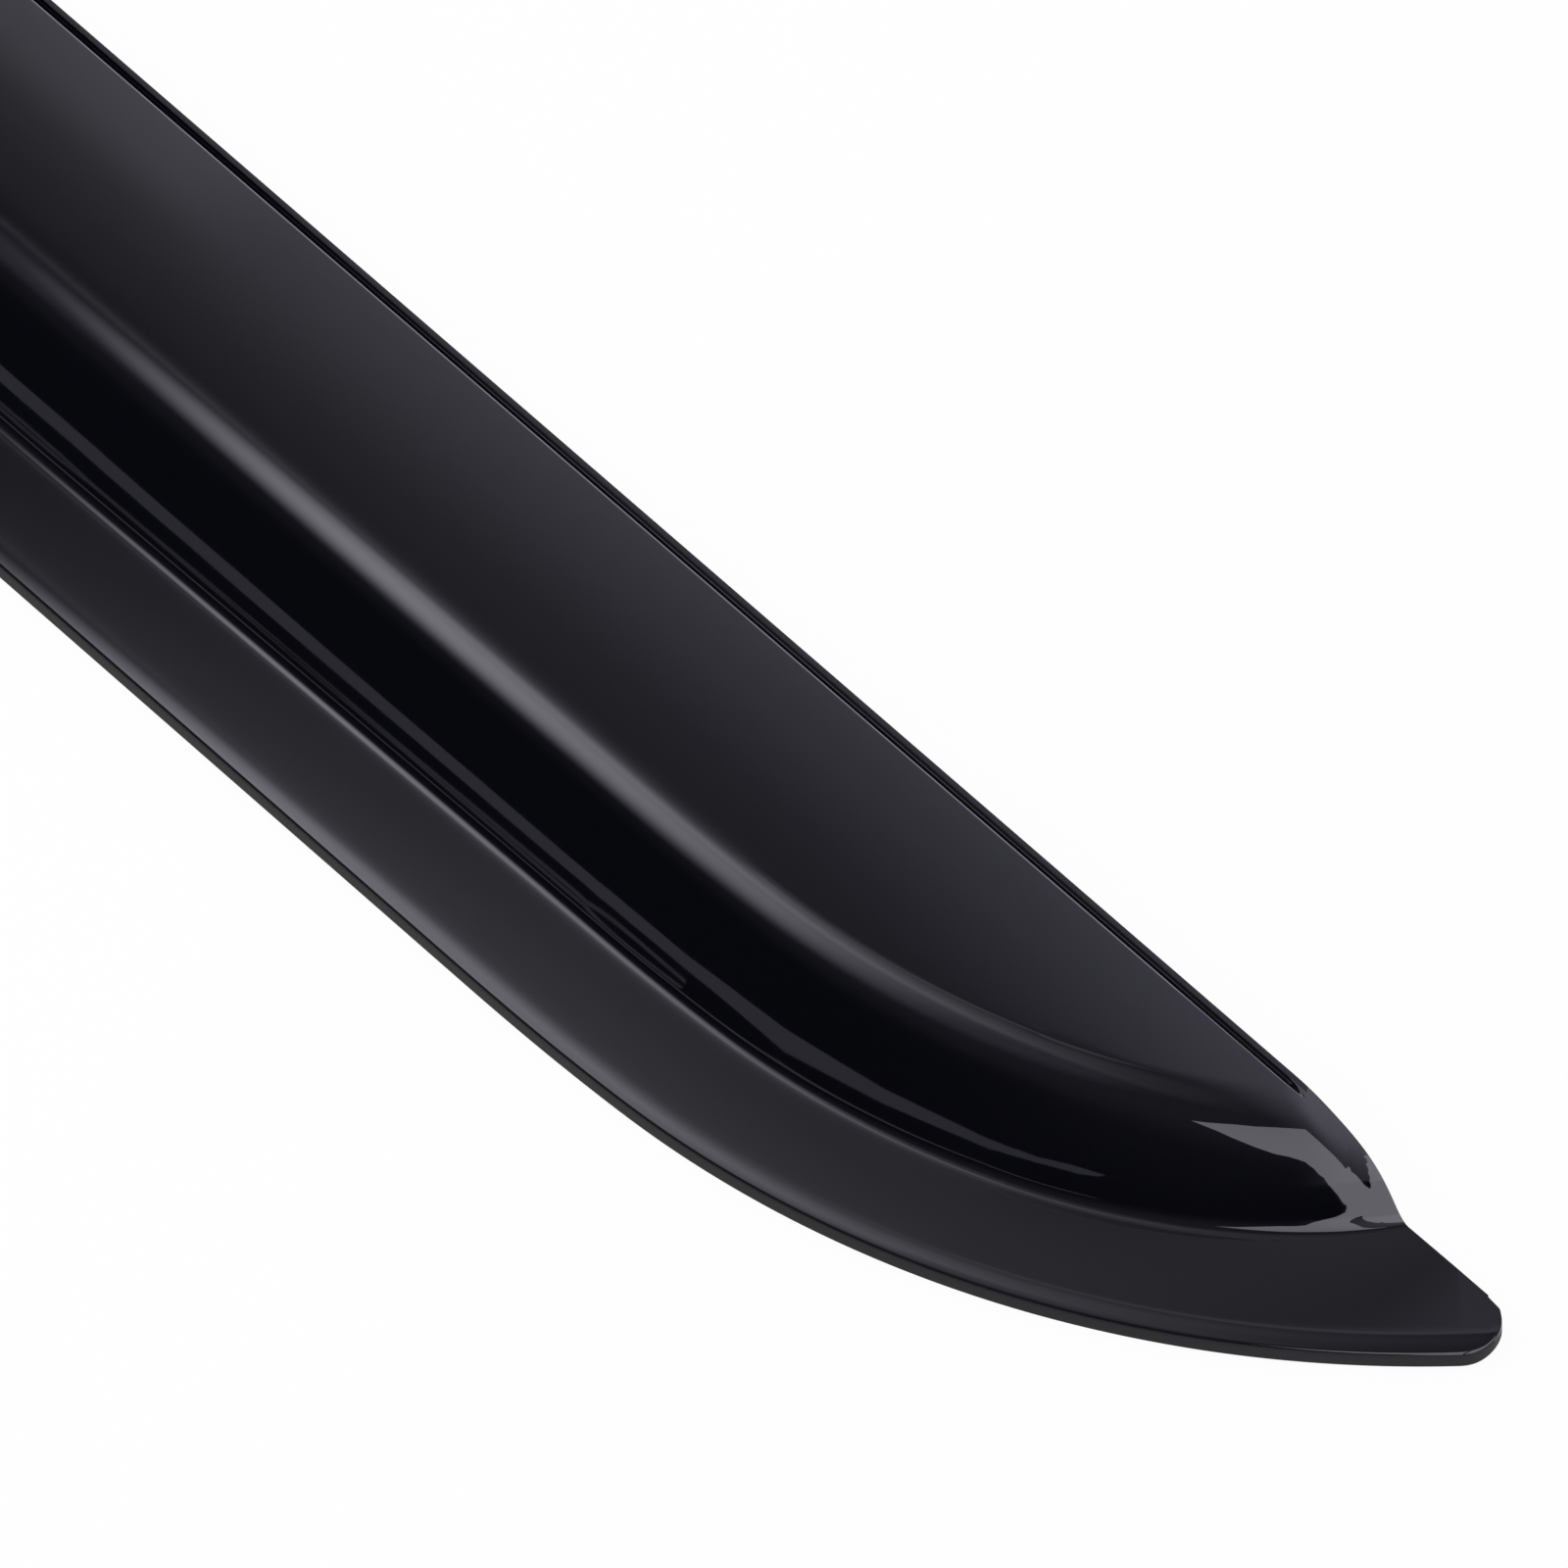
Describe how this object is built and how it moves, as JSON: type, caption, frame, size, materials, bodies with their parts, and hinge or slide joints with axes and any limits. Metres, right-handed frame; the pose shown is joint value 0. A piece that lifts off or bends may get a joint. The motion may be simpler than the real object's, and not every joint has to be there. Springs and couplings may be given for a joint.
{
  "type": "window rain deflector",
  "caption": "Long smoked acrylic window visor with a flat taped mounting flange, a sloped wall, a wide face and a grooved free edge.",
  "frame": {"origin": "middle of the part's box, on the plane of the release film that faces the door", "axes": "+X along the visor toward the pointed tip, +Y toward the trimmed free edge, +Z outward, away from the door"},
  "size_m": [0.7, 0.083, 0.0234],
  "materials": {
    "smoked_acrylic": "polished very dark smoke acrylic, matte where it was trimmed",
    "acrylic_foam": "matte closed-cell foam tape",
    "red_film": "smooth semi-gloss release film"
  },
  "bodies": {
    "root": {"visor_shell": "smoked_acrylic", "foam_tape": "acrylic_foam", "release_film": "red_film"}
  },
  "joints": []
}
